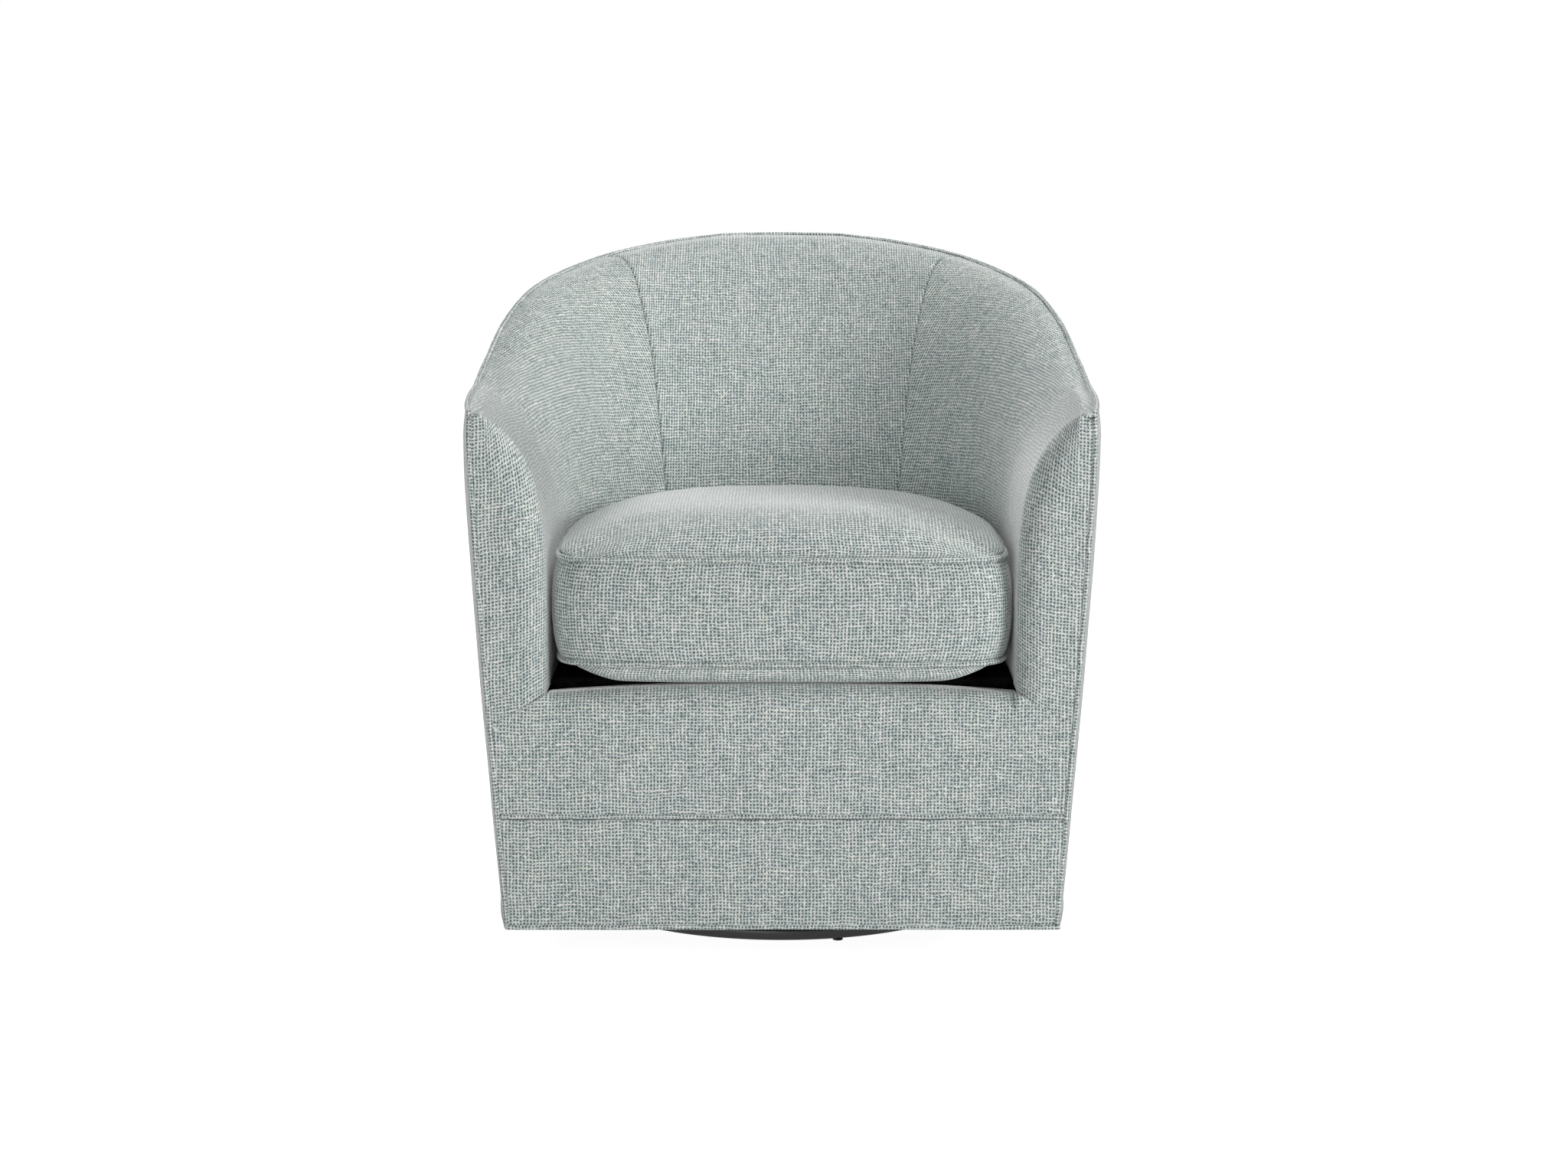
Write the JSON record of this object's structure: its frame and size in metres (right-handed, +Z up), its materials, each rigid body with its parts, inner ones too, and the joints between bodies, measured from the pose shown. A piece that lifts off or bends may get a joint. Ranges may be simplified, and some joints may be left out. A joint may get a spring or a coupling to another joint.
{
  "type": "swivel barrel chair",
  "caption": "Upholstered barrel armchair with a loose seat cushion, turning on a low round base with a ball-race swivel.",
  "frame": {"origin": "on the floor, on the swivel axis, under the middle of the chair's box", "axes": "+Z up along the swivel axis; the chair faces -Y; +X is to the viewer's right, seen from the front"},
  "size_m": [0.7814, 0.7996, 0.852],
  "materials": {
    "fabric": "coarse plain weave in pale and blue-grey yarns",
    "lining": "black woven lining",
    "wood": "bare sawn hardwood and plywood",
    "steel": "zinc-plated pressed steel",
    "base": "black satin lacquer on plywood",
    "glide": "black nylon"
  },
  "bodies": {
    "base": {"base_disc": "base", "base_glide_1": "glide", "base_glide_2": "glide", "base_glide_3": "glide", "base_glide_4": "glide", "swivel_lower_plate": "steel", "lower_plate_screw_1": "steel", "lower_plate_screw_2": "steel", "lower_plate_screw_3": "steel", "lower_plate_screw_4": "steel", "pivot_bolt": "steel", "pivot_nut": "steel"},
    "cage": {"swivel_ball_cage": "steel"},
    "seat": {"swivel_upper_plate": "steel", "upper_plate_screw_1": "steel", "upper_plate_screw_2": "steel", "upper_plate_screw_3": "steel", "upper_plate_screw_4": "steel", "bottom_rail_left": "wood", "bottom_rail_right": "wood", "bottom_rail_back": "wood", "bottom_rail_front": "wood", "seat_rail_left": "wood", "seat_rail_right": "wood", "seat_rail_back": "wood", "seat_rail_front": "wood", "front_post_left": "wood", "front_post_right": "wood", "back_post_left": "wood", "back_post_right": "wood", "arm_rail_left": "wood", "arm_rail_right": "wood", "top_back_rail": "wood", "swivel_board_front": "wood", "swivel_board_back": "wood", "seat_spring_1": "steel", "seat_spring_2": "steel", "seat_spring_3": "steel", "seat_spring_4": "steel", "seat_spring_5": "steel", "outside_back_panel": "fabric", "outside_arm_panel_left": "fabric", "outside_arm_panel_right": "fabric", "inside_back_pad": "fabric", "inside_arm_pad_left": "fabric", "inside_arm_pad_right": "fabric", "front_rail_pad": "fabric", "front_border_panel": "fabric", "seat_deck": "lining", "dust_cover": "lining", "rim_welt": "fabric", "hem_welt": "fabric", "rail_welt": "fabric"},
    "cushion": {"seat_cushion": "fabric", "cushion_low_welt": "fabric", "cushion_high_welt": "fabric"}
  },
  "joints": [
    {"name": "swivel", "type": "hinge", "parent": "base", "child": "seat", "pos_m": [0, 0, 0], "axis": [0, 0, 1], "continuous": true},
    {"name": "cage_roll", "type": "hinge", "parent": "base", "child": "cage", "pos_m": [0, 0, 0], "axis": [0, 0, 1], "continuous": true},
    {"name": "cushion_lift", "type": "slide", "parent": "seat", "child": "cushion", "axis": [0, 0, 1], "range_m": [0, 0.35]}
  ],
  "couplings": [
    {"joint": "cage_roll", "follows": "swivel", "ratio": 0.5}
  ]
}
